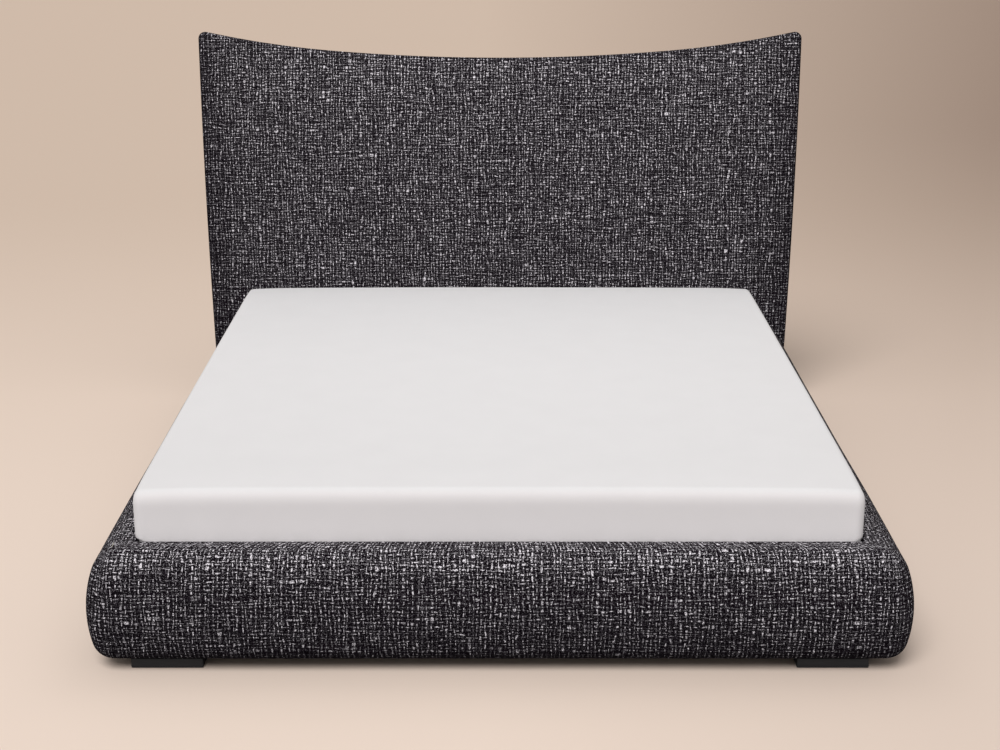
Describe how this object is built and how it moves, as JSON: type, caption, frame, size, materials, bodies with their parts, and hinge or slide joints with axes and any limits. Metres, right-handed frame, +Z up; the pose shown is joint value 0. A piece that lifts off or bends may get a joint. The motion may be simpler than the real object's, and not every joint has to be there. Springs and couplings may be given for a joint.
{
  "type": "upholstered bed",
  "caption": "Double bed with a padded headboard that leans back, flares out and dips along its top, thick rounded fabric-covered rails on low block feet, and a loose mattress.",
  "frame": {"origin": "on the floor under the middle of the bed's overall length and width", "axes": "+X to the right as seen from the foot end, +Y from the foot end to the headboard, +Z up from the floor"},
  "size_m": [2.1278, 2.3283, 1.3416],
  "materials": {
    "tweed_fabric": "coarse charcoal tweed",
    "mattress_fabric": "smooth pale knit",
    "foam": "open-cell foam",
    "plywood": "bare plywood",
    "pine": "planed pine",
    "beech": "sanded bent beech",
    "powder_coated_steel": "black powder coat",
    "zinc_plated_steel": "zinc plated",
    "black_plastic": "moulded, matt",
    "black_lacquered_wood": "black lacquer, satin",
    "felt": "pressed felt",
    "webbing": "woven tape"
  },
  "bodies": {
    "frame": {"bracket_screws": "zinc_plated_steel", "centre_beam": "powder_coated_steel", "centre_leg_1": "powder_coated_steel", "centre_leg_2": "powder_coated_steel", "foot_beam_hanger": "powder_coated_steel", "foot_pads": "felt", "foot_rail_board": "plywood", "foot_rail_bolts": "zinc_plated_steel", "foot_rail_cover": "tweed_fabric", "foot_rail_foam": "foam", "foot_rail_sole": "pine", "foot_screws": "zinc_plated_steel", "front_left_bracket": "powder_coated_steel", "front_left_foot": "black_lacquered_wood", "front_right_bracket": "powder_coated_steel", "front_right_foot": "black_lacquered_wood", "head_beam_hanger": "powder_coated_steel", "headboard_back_cover": "tweed_fabric", "headboard_back_panel": "plywood", "headboard_bolts": "zinc_plated_steel", "headboard_cover": "tweed_fabric", "headboard_foam": "foam", "headboard_left_post": "pine", "headboard_lower_board": "plywood", "headboard_rib_1": "pine", "headboard_rib_2": "pine", "headboard_rib_3": "pine", "headboard_right_post": "pine", "headboard_skin": "plywood", "headboard_sole": "pine", "headboard_top_rail": "pine", "ledge_screws": "zinc_plated_steel", "left_ledge": "pine", "left_side_board": "plywood", "left_side_cover": "tweed_fabric", "left_side_foam": "foam", "left_side_sole": "pine", "left_slat_webbing": "webbing", "leg_plug_1": "black_plastic", "leg_plug_2": "black_plastic", "leg_screws": "zinc_plated_steel", "rear_left_bracket": "powder_coated_steel", "rear_left_foot": "black_lacquered_wood", "rear_right_bracket": "powder_coated_steel", "rear_right_foot": "black_lacquered_wood", "right_ledge": "pine", "right_side_board": "plywood", "right_side_cover": "tweed_fabric", "right_side_foam": "foam", "right_side_sole": "pine", "right_slat_webbing": "webbing", "slat_screws": "zinc_plated_steel", "slats": "beech", "tee_nuts": "zinc_plated_steel"},
    "mattress": {"mattress_core": "foam", "mattress_comfort_layer": "foam", "mattress_cover": "mattress_fabric"},
    "levelling_foot_1": {"levelling_foot_1": "black_plastic"},
    "levelling_foot_2": {"levelling_foot_2": "black_plastic"}
  },
  "joints": [
    {"name": "mattress_lift", "type": "slide", "parent": "frame", "child": "mattress", "axis": [0, 0, 1], "range_m": [0, 0.4]},
    {"name": "levelling_screw_1", "type": "slide", "parent": "frame", "child": "levelling_foot_1", "axis": [0, 0, -1], "range_m": [-0.01, 0.02]},
    {"name": "levelling_screw_2", "type": "slide", "parent": "frame", "child": "levelling_foot_2", "axis": [0, 0, -1], "range_m": [-0.01, 0.02]}
  ]
}
